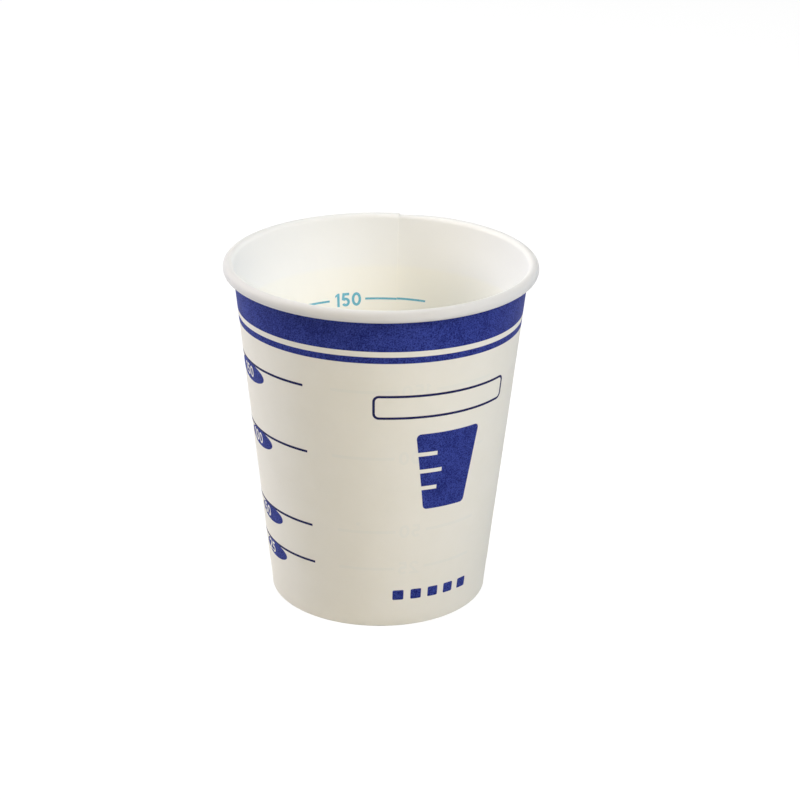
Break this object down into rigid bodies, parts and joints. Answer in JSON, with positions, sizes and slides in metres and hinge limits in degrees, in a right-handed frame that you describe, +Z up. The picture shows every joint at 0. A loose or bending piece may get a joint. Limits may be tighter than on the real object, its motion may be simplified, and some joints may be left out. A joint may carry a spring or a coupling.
{
  "type": "paper measuring cup",
  "caption": "Small tapered paper cup for measuring medicine, with a rolled rim, a lapped side seam, a recessed bottom clamped in a folded foot, and printed volume marks.",
  "frame": {"origin": "centre of the foot ring, on the surface the cup stands on", "axes": "+Z up along the cup's axis to the mouth, +Y towards the back, where the side seam is"},
  "size_m": [0.073, 0.073, 0.082],
  "materials": {
    "coated_paper": "matte outside with dark blue print, slightly satin coated inside",
    "bottom_paper": "slightly satin coated paper"
  },
  "bodies": {
    "root": {"sidewall": "coated_paper", "bottom_disc": "bottom_paper"}
  },
  "joints": []
}
